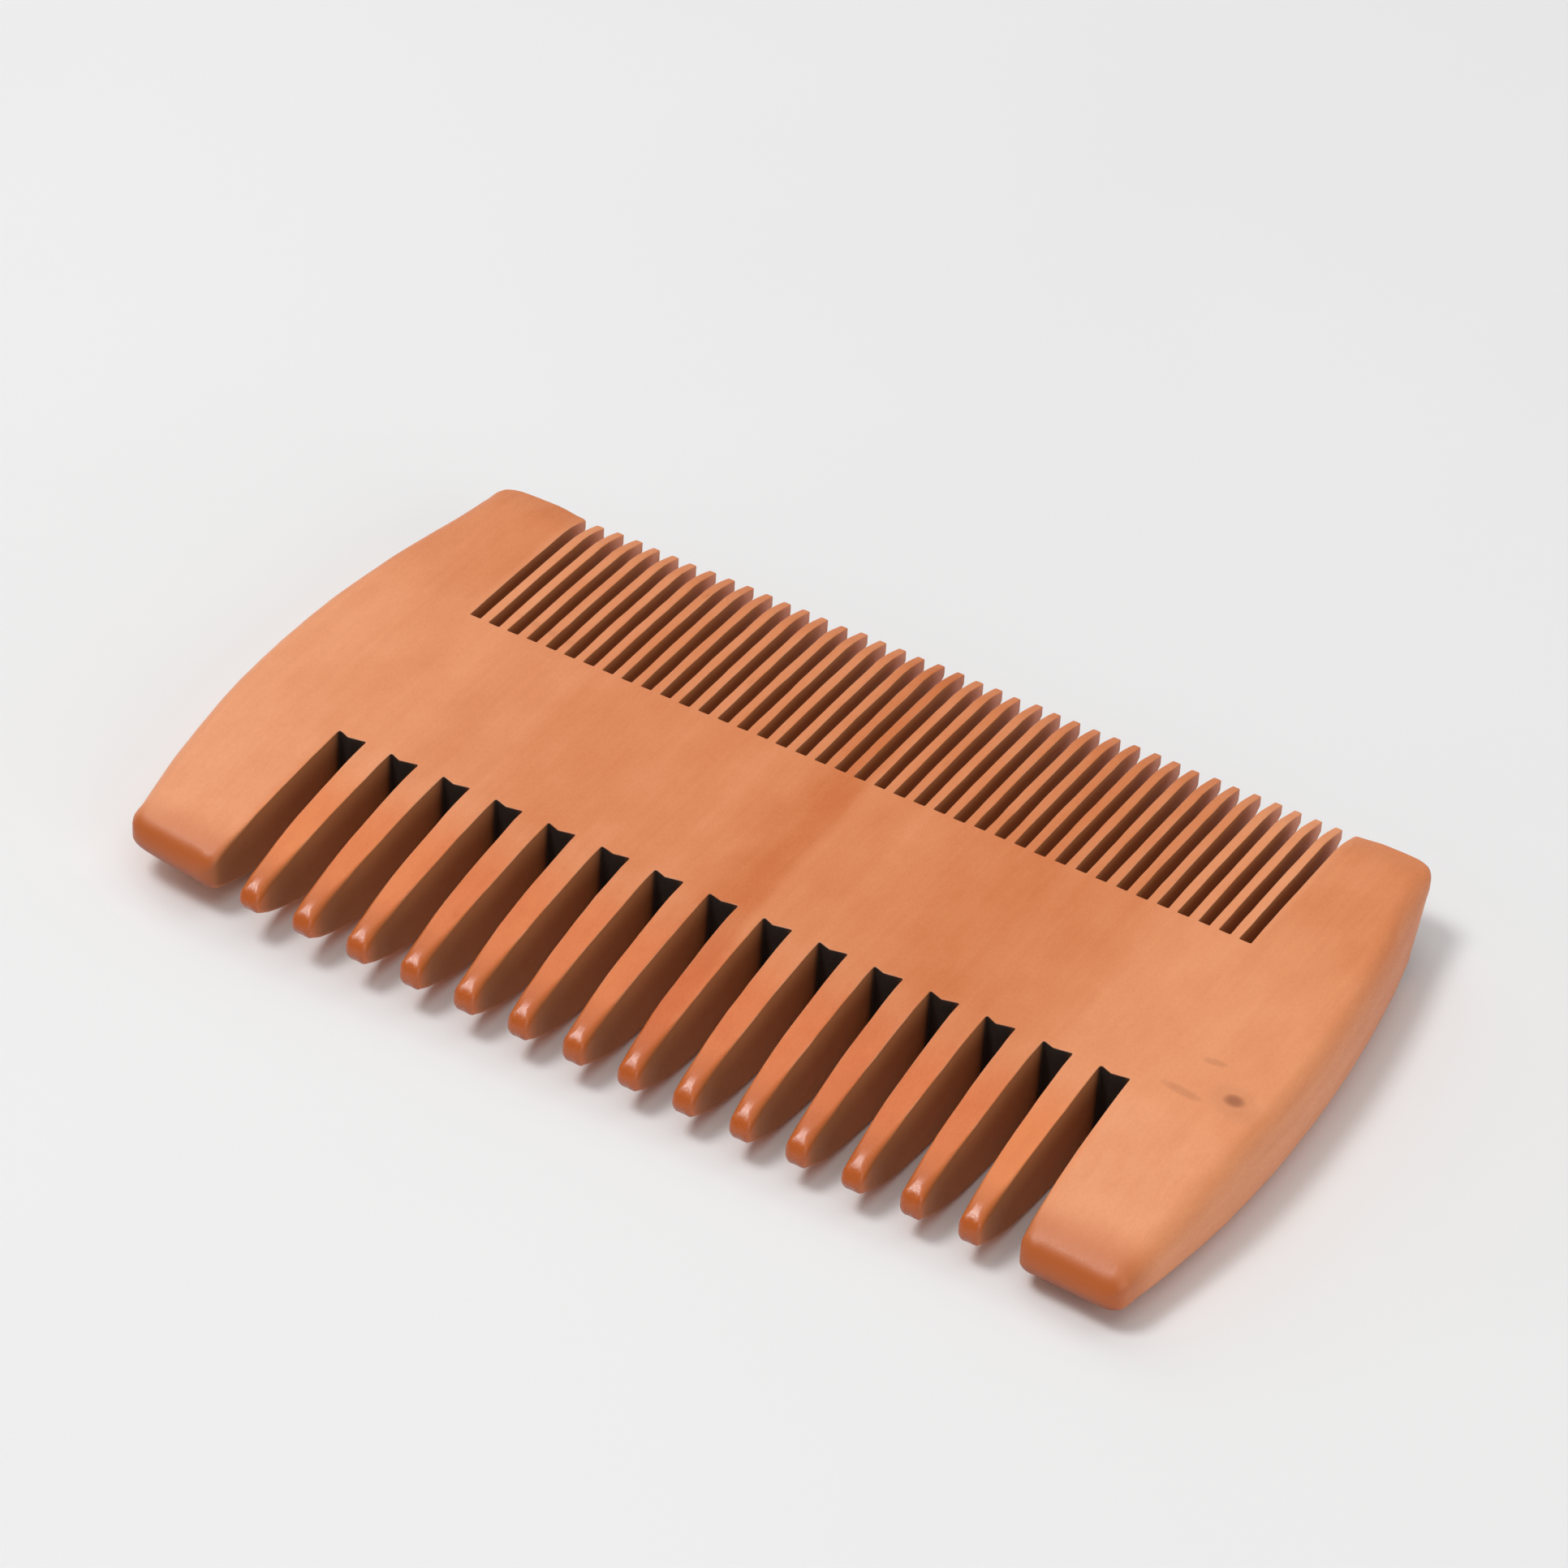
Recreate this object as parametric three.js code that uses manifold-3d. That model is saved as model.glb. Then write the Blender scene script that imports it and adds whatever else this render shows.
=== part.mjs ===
// Double-sided wooden beard comb, lying flat. Millimetres, +Z up.
// X runs along the comb, +Y towards the fine teeth, and Z is the thickness of the board.
// The origin is at the middle of the underside of the comb's box.
//
// The real comb is one board. It is stored here as the regions that its saw cuts leave: a spine,
// an end guard at each end, and one node for every tooth. They meet face to face on flat planes,
// so together they fill exactly the same space as the board, and every slot stays open.

import * as THREE from 'three';
import { mergeVertices } from 'three/addons/utils/BufferGeometryUtils.js';
import Module from 'manifold-3d';

// ---- Driving dimensions ----
const LENGTH = 100;              // between the bowed outer edges, at their widest
const THICKNESS = 8.3;
const SPINE_DEPTH = 19.85;       // from the roots of the coarse teeth to the roots of the fine ones
const ROW_LENGTH = 75.9;         // both rows of teeth, first slot to last slot

const COARSE_TEETH = 14;
const COARSE_SLOT = 2.64;
const COARSE_LENGTH = 18.15;
const COARSE_FLAT = 1.0;         // stretch at the root that keeps the full thickness
const COARSE_DROP = 1.9;         // how far each face has sunk where the nose starts
const COARSE_BEND = 0.2;         // share of the slope at which the tangents of its ends meet
const COARSE_NOSE = 2.2;         // length of the rounded nose
const COARSE_TIP = 1.0;          // height of the blunt end of the nose
const COARSE_EDGE = 0.4;         // rounding along the edges of a coarse tooth

const FINE_TEETH = 39;
const FINE_SLOT = 1.0;
const FINE_LENGTH = 18.65;
const FINE_TAPER = 3.6;          // stretch at a fine tip where the top falls
const FINE_DROP = 1.2;           // how far the top has fallen at the tip
const FINE_BEVEL = 7.0;          // stretch at a fine tip where the underside rises
const FINE_RISE = 6.2;           // how far the underside has risen at the tip

const BOW_RADIUS = 119;          // the outer edge of each guard is one long arc in plan
const WIDEST_Y = -2.5;           // where the two arcs are furthest apart, a little to the coarse side
const FINE_CORNER = 3.2;         // corner radii in plan
const COARSE_CORNER = 2.4;
const PILLOW_WIDTH = 1.8;        // the outer edge is a half ellipse in section: how far in it reaches
const PILLOW_FLAT = 0.8;         // and the upright stretch left at mid thickness

const CURVE_STEPS = 6;           // straight pieces to each curve
const SAME_SPOT = 1e-4;

// ---- Dimensions that follow ----
const DEPTH = FINE_LENGTH + SPINE_DEPTH + COARSE_LENGTH;
const FINE_TIP_Y = DEPTH / 2;
const FINE_ROOT_Y = FINE_TIP_Y - FINE_LENGTH;
const COARSE_ROOT_Y = FINE_ROOT_Y - SPINE_DEPTH;
const COARSE_TIP_Y = -DEPTH / 2;
const ROW_HALF = ROW_LENGTH / 2;
const COARSE_PITCH = (ROW_LENGTH - COARSE_SLOT) / COARSE_TEETH;
const FINE_PITCH = (ROW_LENGTH - FINE_SLOT) / FINE_TEETH;
const COARSE_TOOTH = COARSE_PITCH - COARSE_SLOT;
const FINE_TOOTH = FINE_PITCH - FINE_SLOT;
const MID = THICKNESS / 2;

const wasm = await Module();
wasm.setup();

// ---- Helpers ----
function woodMaterial(color, roughness) {
  return new THREE.MeshStandardMaterial({ color, roughness, metalness: 0 });
}

function toManifold(geometry) {
  const bare = geometry.clone();
  bare.deleteAttribute('normal');
  bare.deleteAttribute('uv');
  const merged = mergeVertices(bare, 1e-5);
  return new wasm.Manifold(new wasm.Mesh({
    numProp: 3,
    vertProperties: new Float32Array(merged.attributes.position.array),
    triVerts: new Uint32Array(merged.index.array),
  }));
}

function fromManifold(solid) {
  const mesh = solid.getMesh();
  const geometry = new THREE.BufferGeometry();
  geometry.setAttribute('position', new THREE.BufferAttribute(mesh.vertProperties, 3));
  geometry.setIndex(new THREE.BufferAttribute(mesh.triVerts, 1));
  const flat = geometry.toNonIndexed();
  flat.computeVertexNormals();
  return flat;
}

function intersection(first, second) {
  return fromManifold(toManifold(first).intersect(toManifold(second)));
}

function box(low, high) {
  const geometry = new THREE.BoxGeometry(high[0] - low[0], high[1] - low[1], high[2] - low[2]);
  return geometry.translate(...low.map((value, i) => (value + high[i]) / 2));
}

// The outline as straight pieces, with no two corners on the same spot.
function straightened(shape, steps) {
  const corners = shape.getPoints(steps);
  const apart = (point, i) => point.distanceTo(corners.at(i - 1)) > SAME_SPOT;
  return new THREE.Shape(corners.filter(apart));
}

// Turns a shape drawn in (Y, Z) and extruded by depth into a solid that starts at x.
function alongX(geometry, x) {
  const toYZX = new THREE.Matrix4().makeBasis(
    new THREE.Vector3(0, 1, 0), new THREE.Vector3(0, 0, 1), new THREE.Vector3(1, 0, 0));
  return geometry.applyMatrix4(toYZX).translate(x, 0, 0);
}

// ---- Side outlines, drawn in (Y, Z) ----
// The coarse end: along the top out to the blunt tip, then back along the underside.
function addCoarseEnd(shape) {
  const slopeStart = COARSE_ROOT_Y - COARSE_FLAT;
  const noseStart = COARSE_TIP_Y + COARSE_NOSE;
  const bend = slopeStart + (noseStart - slopeStart) * COARSE_BEND;
  const noseRise = MID - COARSE_DROP - COARSE_TIP / 2;
  shape.lineTo(slopeStart, THICKNESS);
  shape.quadraticCurveTo(bend, THICKNESS, noseStart, THICKNESS - COARSE_DROP);
  shape.absellipse(noseStart, MID + COARSE_TIP / 2, COARSE_NOSE, noseRise,
    Math.PI / 2, Math.PI, false, 0);
  shape.absellipse(noseStart, MID - COARSE_TIP / 2, COARSE_NOSE, noseRise,
    Math.PI, 1.5 * Math.PI, false, 0);
  shape.quadraticCurveTo(bend, 0, slopeStart, 0);
}

// The fine end: along the underside and up its bevel to the tip, then back along the top.
function addFineEnd(shape) {
  shape.lineTo(FINE_TIP_Y - FINE_BEVEL, 0);
  shape.lineTo(FINE_TIP_Y, FINE_RISE);
  shape.lineTo(FINE_TIP_Y, THICKNESS - FINE_DROP);
  shape.quadraticCurveTo(FINE_TIP_Y - FINE_TAPER / 2, THICKNESS, FINE_TIP_Y - FINE_TAPER, THICKNESS);
}

function coarseToothOutline(start) {
  const shape = new THREE.Shape();
  shape.moveTo(start, 0);
  shape.lineTo(start, THICKNESS);
  addCoarseEnd(shape);
  shape.closePath();
  return shape;
}

function fineToothOutline() {
  const shape = new THREE.Shape();
  shape.moveTo(FINE_ROOT_Y, THICKNESS);
  shape.lineTo(FINE_ROOT_Y, 0);
  addFineEnd(shape);
  shape.closePath();
  return shape;
}

function guardSideOutline() {
  const shape = new THREE.Shape();
  shape.moveTo(0, THICKNESS);
  addCoarseEnd(shape);
  addFineEnd(shape);
  shape.closePath();
  return shape;
}

// ---- The regions of the board ----
function spineGeometry() {
  return box([-ROW_HALF, COARSE_ROOT_Y, 0], [ROW_HALF, FINE_ROOT_Y, THICKNESS]);
}

// A coarse tooth: its side outline with rounded edges, trimmed flat where it meets the spine.
function coarseToothGeometry() {
  const spare = 2 * COARSE_EDGE;
  const rounded = alongX(new THREE.ExtrudeGeometry(coarseToothOutline(COARSE_ROOT_Y + spare), {
    depth: COARSE_TOOTH - 2 * COARSE_EDGE,
    curveSegments: CURVE_STEPS,
    bevelSize: COARSE_EDGE,
    bevelThickness: COARSE_EDGE,
    bevelOffset: -COARSE_EDGE,
    bevelSegments: 2,
  }), COARSE_EDGE);
  const outside = box([-1, COARSE_TIP_Y - 1, -1], [COARSE_TOOTH + 1, COARSE_ROOT_Y, THICKNESS + 1]);
  return intersection(rounded, outside);
}

function fineToothGeometry() {
  return alongX(new THREE.ExtrudeGeometry(fineToothOutline(), {
    depth: FINE_TOOTH,
    curveSegments: CURVE_STEPS,
    bevelEnabled: false,
  }), 0);
}

// The centre of a corner circle that touches a level line and the inside of the bow.
function cornerCentre(bow, y, radius) {
  const rise = y - bow.centre.y;
  return new THREE.Vector2(bow.centre.x + Math.sqrt((bow.radius - radius) ** 2 - rise ** 2), y);
}

// The right-hand guard in plan: level ends, rounded corners and one long arc between them.
function guardPlanOutline() {
  const bow = { centre: new THREE.Vector2(LENGTH / 2 - BOW_RADIUS, WIDEST_Y), radius: BOW_RADIUS };
  const low = cornerCentre(bow, COARSE_TIP_Y + COARSE_CORNER, COARSE_CORNER);
  const high = cornerCentre(bow, FINE_TIP_Y - FINE_CORNER, FINE_CORNER);
  const lowAngle = low.clone().sub(bow.centre).angle() - 2 * Math.PI;
  const highAngle = high.clone().sub(bow.centre).angle();
  const inner = ROW_HALF - 2 * PILLOW_WIDTH;
  const shape = new THREE.Shape();
  shape.moveTo(inner, COARSE_TIP_Y);
  shape.lineTo(low.x, COARSE_TIP_Y);
  shape.absarc(low.x, low.y, COARSE_CORNER, -Math.PI / 2, lowAngle, false);
  shape.absarc(bow.centre.x, bow.centre.y, bow.radius, lowAngle, highAngle, false);
  shape.absarc(high.x, high.y, FINE_CORNER, highAngle, Math.PI / 2, false);
  shape.lineTo(inner, FINE_TIP_Y);
  shape.closePath();
  return shape;
}

// The right-hand guard: the pillowed plan, cut to the side outline and to the end of the rows.
function guardGeometry() {
  const rise = MID - PILLOW_FLAT / 2;
  const pillowed = new THREE.ExtrudeGeometry(straightened(guardPlanOutline(), CURVE_STEPS), {
    depth: PILLOW_FLAT,
    bevelSize: PILLOW_WIDTH,
    bevelThickness: rise,
    bevelOffset: -PILLOW_WIDTH,
    bevelSegments: 4,
  }).translate(0, 0, rise);
  const side = alongX(new THREE.ExtrudeGeometry(straightened(guardSideOutline(), CURVE_STEPS), {
    depth: LENGTH / 2 - ROW_HALF + 1,
    bevelEnabled: false,
  }), ROW_HALF);
  return intersection(pillowed, side);
}

// ---- Assembly ----
const comb = new THREE.Group();
const bodyWood = woodMaterial(0xc9825a, 0.5);
const toothWood = woodMaterial(0xb8703f, 0.45);

function addRegion(name, geometry, material) {
  const mesh = new THREE.Mesh(geometry, material.clone());
  mesh.name = name;
  comb.add(mesh);
  return mesh;
}

function numbered(stem, index) {
  return `${stem}_${String(index + 1).padStart(2, '0')}`;
}

addRegion('spine', spineGeometry(), bodyWood);

// The left-hand guard is the right-hand one turned half a turn about Y.
const guard = guardGeometry();
addRegion('end_guard_right', guard, bodyWood);
const leftGuard = addRegion('end_guard_left', guard.clone(), bodyWood);
leftGuard.rotation.y = Math.PI;
leftGuard.position.z = THICKNESS;

const coarseTooth = coarseToothGeometry();
for (let i = 0; i < COARSE_TEETH; i += 1) {
  const tooth = addRegion(numbered('coarse_tooth', i), coarseTooth.clone(), toothWood);
  tooth.position.x = -ROW_HALF + COARSE_SLOT + i * COARSE_PITCH;
}

const fineTooth = fineToothGeometry();
for (let i = 0; i < FINE_TEETH; i += 1) {
  const tooth = addRegion(numbered('fine_tooth', i), fineTooth.clone(), toothWood);
  tooth.position.x = -ROW_HALF + FINE_SLOT + i * FINE_PITCH;
}

export default comb;
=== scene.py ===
"""A double-sided wooden beard comb, modelled as the one board of wood that it is.

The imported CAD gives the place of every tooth. This script lays one closed outline round all of them,
rounds its edges inwards ring by ring, fills the two flat faces, and finishes the board as oiled wood.
Lengths are in millimetres until the mesh and the stage are made.
"""
import math

import bpy
import numpy as np
from mathutils import Matrix, Vector
from mathutils.geometry import delaunay_2d_cdt
from mathutils.kdtree import KDTree


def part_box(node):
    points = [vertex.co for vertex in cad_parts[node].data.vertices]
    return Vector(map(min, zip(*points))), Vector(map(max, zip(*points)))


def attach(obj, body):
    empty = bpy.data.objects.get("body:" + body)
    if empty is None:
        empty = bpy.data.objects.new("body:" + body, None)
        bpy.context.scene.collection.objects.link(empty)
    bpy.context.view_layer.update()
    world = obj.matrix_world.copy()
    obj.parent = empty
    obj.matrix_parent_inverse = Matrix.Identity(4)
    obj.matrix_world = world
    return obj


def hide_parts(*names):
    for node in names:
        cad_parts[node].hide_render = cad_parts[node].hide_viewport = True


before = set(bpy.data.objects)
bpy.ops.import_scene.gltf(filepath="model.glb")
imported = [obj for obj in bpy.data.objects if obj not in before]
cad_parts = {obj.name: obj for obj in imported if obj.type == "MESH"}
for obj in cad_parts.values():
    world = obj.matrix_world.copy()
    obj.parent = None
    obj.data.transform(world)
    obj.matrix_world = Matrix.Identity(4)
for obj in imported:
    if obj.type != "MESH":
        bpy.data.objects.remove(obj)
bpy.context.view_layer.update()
MM = 0.001

# ---- Rounding and wear, as (how far in, how far down) ----
SAWN_EDGE = (0.10, 0.10)         # where a slot meets a face, near the roots
NOSE_EDGE = (0.80, 0.80)         # round the end of a coarse tooth
NOSE_EDGE_START = 0.8            # the nose's rounding is full this far from the guards' ends
NOSE_EDGE_LENGTH = 6.2           # and has turned into the sawn edge this much further on
FINE_EDGE = (0.08, 0.08)
GUARD_COARSE_END = (1.15, 0.85)
GUARD_FINE_END = (0.40, 0.35)
BOW_EDGE = 2.0                   # the bowed edge is nearly a half ellipse in section:
BOW_SHARE = 0.85                 # this share of its half height is rounded away
LEAST_FLAT = 0.12                # half of the least upright stretch left on any edge
WIDE_BLEND = 2.2                 # one kind of rounding turns into the next over this length
TIGHT_BLEND = 0.4
RING_STEPS = 7
WALL_STOPS = (0.02, 0.2, 0.5, 0.8, 0.98)     # rows of points down the upright walls
LONG_SIDE = 10.0                 # straight sides longer than this get closer points at their ends
SUPPORT = 0.08                   # one more ring this far in, which keeps the faces flat
ROOM = 0.8                       # share of a corner's radius that its edge rounding may use
TIGHT_ROOM = 0.6                 # the same for corners smaller than TIGHT_RADIUS
TIGHT_RADIUS = 0.3
EDGE_SHARE = 0.85                # share of that room for the rounding, with its support ring beyond
NO_LIMIT = 99.0

# ---- How the faces fall away from their full height; a curve is the power of its slope ----
COARSE_FLAT = 1.0                # stretch at the coarse roots that keeps the full height
COARSE_DROP = 2.2                # how far each face has sunk at the coarse tips
COARSE_CURVE = 1.25
SLOPE_END = 1.03                 # the slope carries on a little past the tips
NOSE_LENGTH = 2.6
NOSE_SAG = 0.95                  # how much further each face sinks over the nose
NOSE_RISE = 0.75                 # the underside rises this much more at the coarse ends
RISE_LENGTH = 4.5
RISE_CURVE = 1.3
GUARD_RISE = 0.3                 # the guards take this share of the rise, before its curve
NOSE_TURN = 0.92                 # how much of a quarter turn the nose makes, as its sine
FINE_FLAT = 5.5                  # stretch at the fine roots that keeps the full height
FINE_FALL = 0.35                 # the top falls this much along the rest of the tooth
FINE_TAPER = 3.6
FINE_DROP = 0.90                 # and this much more over the taper at its end
FINE_CURVE = 1.3
GUARD_FINE_FALL = 0.7            # the guards fall by this share of what the fine teeth do
FINE_BEVEL = 7.0
FINE_RISE = 6.2                  # the underside rises this much over the bevel
BEVEL_CURVE = 0.85
BOW_SAG = 0.20                   # both faces sink this much at the bowed edges
BOW_SAG_WIDTH = 5.0
FACE_WAVE = 0.012                # the faces are uneven by about this much

# ---- Shapes that the CAD draws more plainly ----
NOSE_CORNER = 0.62
FINE_CORNER = 0.17
FINE_ROOT_CORNER = 0.06
GUARD_INNER_COARSE = 1.2
GUARD_INNER_FINE = 0.40
GUARD_OUTER_COARSE = 2.2
GUARD_OUTER_FINE = 2.3
BOW_RADIUS = 119
WIDEST_Y = -2.5
GULLET_RIDGE = 0.38
RIDGE_CORNER = 0.35
RIDGE_PLACE = 0.42               # how far along a gullet its ridge stands
GULLET_CORNER = 0.10
NARROWING = {"coarse": (0.29, 17.8), "fine": (0.07, 4.5)}    # (how much, over what length)
NARROWING_CURVE = 1.4

# ---- What the hand and the saw left uneven ----
TOOTH_REACH = 0.45               # the coarse teeth reach this far past the guards
COARSE_UNEVEN = 0.15             # their ends differ by this much either way
FINE_UNEVEN = 0.35               # the fine ends stop short by up to this much
TOOTH_LEAN = 0.05
ROOT_UNEVEN = 0.04
ROW_SKEW = 0.0072                # the coarse row was cut a little out of square
GUARD_SKEW = 0.0105              # its guards are out by this much more
GUARD_LEAN = 0.017               # the outer edges of the guards lean by this share
LEFT_SPREAD = 0.45               # the coarse half of the left guard is this much wider
SPREAD_LENGTH = 30.0
GUARD_BLEND = 8.0                # these three are complete this far into a guard
TIP_SAG = 0.95                   # the coarse tips hang this much lower halfway along the row,
SAG_LEAN = 0.014                 # more to the right, by this share per millimetre,
SAG_REACH = 55.0                 # and less towards both ends, this far from the middle
SAG_CURVE = 1.2
HANDWORK = (0.03, 0.02)          # the outline stands out by the first, give or take the second


# ---- Small helpers ----
def ease(t):
    t = np.clip(t, 0, 1)
    return t * t * (3 - 2 * t)


def unit(v):
    return v / np.linalg.norm(v)


def ripples(seed, longest, shortest, count=14):
    """A smooth random field of x and y, between about -1 and 1."""
    rng = np.random.default_rng(seed)
    length = np.exp(rng.uniform(math.log(shortest), math.log(longest), count))
    angle = rng.uniform(0, math.tau, count)
    phase = rng.uniform(0, math.tau, count)
    kx = math.tau * np.cos(angle) / length
    ky = math.tau * np.sin(angle) / length

    def field(x, y):
        total = sum(np.sin(a * x + b * y + p) for a, b, p in zip(kx, ky, phase))
        return total / math.sqrt(count)

    return field


# ---- The board, measured from the CAD ----
def cad_box(node):
    low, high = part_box(node)
    return np.array(low) / MM, np.array(high) / MM


def row_of(stem):
    """The left and right edge of every tooth in a row, from left to right."""
    boxes = [cad_box(node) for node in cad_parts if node.startswith(stem)]
    return sorted((low[0], high[0]) for low, high in boxes)


SPINE_LOW, SPINE_HIGH = cad_box("spine")
ROW_LEFT, COARSE_ROOT, _ = SPINE_LOW
ROW_RIGHT, FINE_ROOT, THICKNESS = SPINE_HIGH
COARSE_TIP = cad_box("coarse_tooth_01")[0][1]
FINE_TIP = cad_box("fine_tooth_01")[1][1]
COARSE_ROW = row_of("coarse_tooth")
FINE_ROW = row_of("fine_tooth")
HALF_LENGTH = cad_box("end_guard_right")[1][0]
MID = THICKNESS / 2


def bow_reach(y):
    """How far the bowed edges stand from the middle of the comb."""
    return HALF_LENGTH - BOW_RADIUS + np.sqrt(BOW_RADIUS**2 - (y - WIDEST_Y) ** 2)


def on_tooth(x):
    """Whether x lies between the guards' inner edges, with a millimetre to spare."""
    return abs(x) < ROW_RIGHT - 1


def coarse_end(x):
    """Where the coarse teeth end, before the slots are skewed, and where the guards do."""
    return COARSE_TIP + (ROW_SKEW * x - TOOTH_REACH) * on_tooth(x)


def lost_height(x, y):
    """How far either face has fallen from its full height, leaving the fine ends aside."""
    slope_start = COARSE_ROOT - COARSE_FLAT
    slope = np.clip((slope_start - y) / (slope_start - COARSE_TIP), 0, SLOPE_END)
    nose = NOSE_TURN * np.clip(1 - (y - coarse_end(x)) / NOSE_LENGTH, 0, 1)
    full_turn = 1 - math.sqrt(1 - NOSE_TURN**2)
    sag = np.clip(1 - (bow_reach(y) - abs(x)) / BOW_SAG_WIDTH, 0, 1)
    nose_loss = NOSE_SAG * (1 - np.sqrt(1 - nose**2)) / full_turn
    return COARSE_DROP * slope**COARSE_CURVE + nose_loss + BOW_SAG * sag**2


def top_height(x, y):
    """The upper face above mid thickness, before its edges are rounded."""
    fall_start = FINE_ROOT + FINE_FLAT
    fall = np.clip((y - fall_start) / (FINE_TIP - fall_start), 0, 1)
    taper = np.clip(1 - (FINE_TIP - y) / FINE_TAPER, 0, 1)
    share = 1 - (1 - GUARD_FINE_FALL) * ease((abs(x) - ROW_RIGHT) / 3)
    lost = FINE_FALL * fall**FINE_CURVE + FINE_DROP * taper**FINE_CURVE
    return MID - lost_height(x, y) - share * lost


def under_depth(x, y):
    """The lower face below mid thickness, likewise; its fine ends are bevelled."""
    bevel = np.clip(1 - (FINE_TIP - y) / FINE_BEVEL, 0, 1)
    share = np.where(on_tooth(x), 1, GUARD_RISE)
    rise = share * np.clip(1 - (y - coarse_end(x)) / RISE_LENGTH, 0, 1)
    return MID - lost_height(x, y) - FINE_RISE * bevel**BEVEL_CURVE - NOSE_RISE * rise**RISE_CURVE


# ---- The outline ----
class Corner:
    """A corner of the outline: its place, its rounding in plan and the stretch that follows it."""

    def __init__(self, x, y, kind, radius=0.0, step=1.1, pull=0, limit=NO_LIMIT):
        self.place = np.array([x, y], float)
        self.kind = kind
        self.radius = radius
        self.step = step
        self.pull = pull
        self.limit = limit


def coarse_side(rng):
    """From the left guard's inner corner, in and out of every coarse slot, to the right guard."""
    guard = dict(kind="coarse", radius=GUARD_INNER_COARSE)
    corners = [Corner(ROW_LEFT, COARSE_TIP, pull=-1, **guard)]
    left = ROW_LEFT
    for right, far in [*COARSE_ROW, (ROW_RIGHT, None)]:
        ridge = left + (right - left) * (RIDGE_PLACE + rng.uniform(-0.05, 0.05))
        height = GULLET_RIDGE * rng.uniform(0.8, 1.15)
        gullet = dict(kind="gullet", step=0.3)
        corners.append(Corner(left, COARSE_ROOT, pull=-1, radius=GULLET_CORNER, **gullet))
        corners.append(Corner(ridge, COARSE_ROOT - height, radius=RIDGE_CORNER, **gullet))
        corners.append(Corner(right, COARSE_ROOT, "coarse", GULLET_CORNER, pull=1))
        if far is None:
            break
        lean = rng.uniform(-TOOTH_LEAN, TOOTH_LEAN)
        short = rng.uniform(-COARSE_UNEVEN, COARSE_UNEVEN)
        tip = dict(y=coarse_end(right) + short, radius=NOSE_CORNER)
        corners.append(Corner(right + lean, kind="nose", pull=1, step=0.2, **tip))
        corners.append(Corner(far + lean, kind="coarse", pull=-1, **tip))
        left = far
    corners.append(Corner(ROW_RIGHT, COARSE_TIP, "guard_coarse", GUARD_INNER_COARSE, pull=1, step=0.5))
    return corners


def fine_side(rng):
    """From the right guard's inner corner, in and out of every fine slot, to the left guard."""
    corners = [Corner(ROW_RIGHT, FINE_TIP, "fine", GUARD_INNER_FINE, pull=1)]
    right = ROW_RIGHT
    for near, left in [*((b, a) for a, b in reversed(FINE_ROW)), (ROW_LEFT, None)]:
        root = FINE_ROOT + rng.uniform(-ROOT_UNEVEN, ROOT_UNEVEN)
        corners.append(Corner(right, root, "fine_gullet", FINE_ROOT_CORNER, step=0.4, pull=1))
        corners.append(Corner(near, root, "fine", FINE_ROOT_CORNER, pull=-1))
        if left is None:
            break
        lean = rng.uniform(-TOOTH_LEAN, TOOTH_LEAN)
        short = rng.uniform(0.0, FINE_UNEVEN)
        tip = dict(y=FINE_TIP - short, radius=FINE_CORNER)
        corners.append(Corner(near + lean, kind="fine_tip", step=0.3, pull=-1, **tip))
        corners.append(Corner(left + lean, kind="fine", pull=1, **tip))
        right = left
    corners.append(Corner(ROW_LEFT, FINE_TIP, "guard_fine", GUARD_INNER_FINE, step=0.5, pull=-1))
    return corners


def arc(centre, radius, start, end, steps):
    angles = np.linspace(start, end, steps + 1)
    return [centre + radius * np.array([math.cos(a), math.sin(a)]) for a in angles]


def bow():
    """The right guard's outer edge, from its coarse end to its fine end."""
    middle = np.array([HALF_LENGTH - BOW_RADIUS, WIDEST_Y])

    def corner_centre(y, radius):
        rise = y - middle[1]
        return np.array([middle[0] + math.sqrt((BOW_RADIUS - radius) ** 2 - rise**2), y])

    low = corner_centre(COARSE_TIP + GUARD_OUTER_COARSE, GUARD_OUTER_COARSE)
    high = corner_centre(FINE_TIP - GUARD_OUTER_FINE, GUARD_OUTER_FINE)
    low_angle = math.atan2(*(low - middle)[::-1])
    high_angle = math.atan2(*(high - middle)[::-1])
    return [
        ("guard_coarse", arc(low, GUARD_OUTER_COARSE, -math.pi / 2, low_angle, 12)[:-1]),
        ("bow", arc(middle, BOW_RADIUS, low_angle, high_angle, 60)),
        ("guard_fine", arc(high, GUARD_OUTER_FINE, high_angle, math.pi / 2, 12)[1:]),
    ]


def right_guard():
    limits = {
        "guard_coarse": ROOM * GUARD_OUTER_COARSE,
        "bow": NO_LIMIT,
        "guard_fine": ROOM * GUARD_OUTER_FINE,
    }
    return [Corner(*p, kind, step=0.5, limit=limits[kind]) for kind, points in bow() for p in points]


def left_guard():
    """The right guard's outer edge, mirrored and run the other way."""
    edge = reversed(right_guard())
    return [Corner(-c.place[0], c.place[1], c.kind, step=0.5, limit=c.limit) for c in edge]


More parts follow.
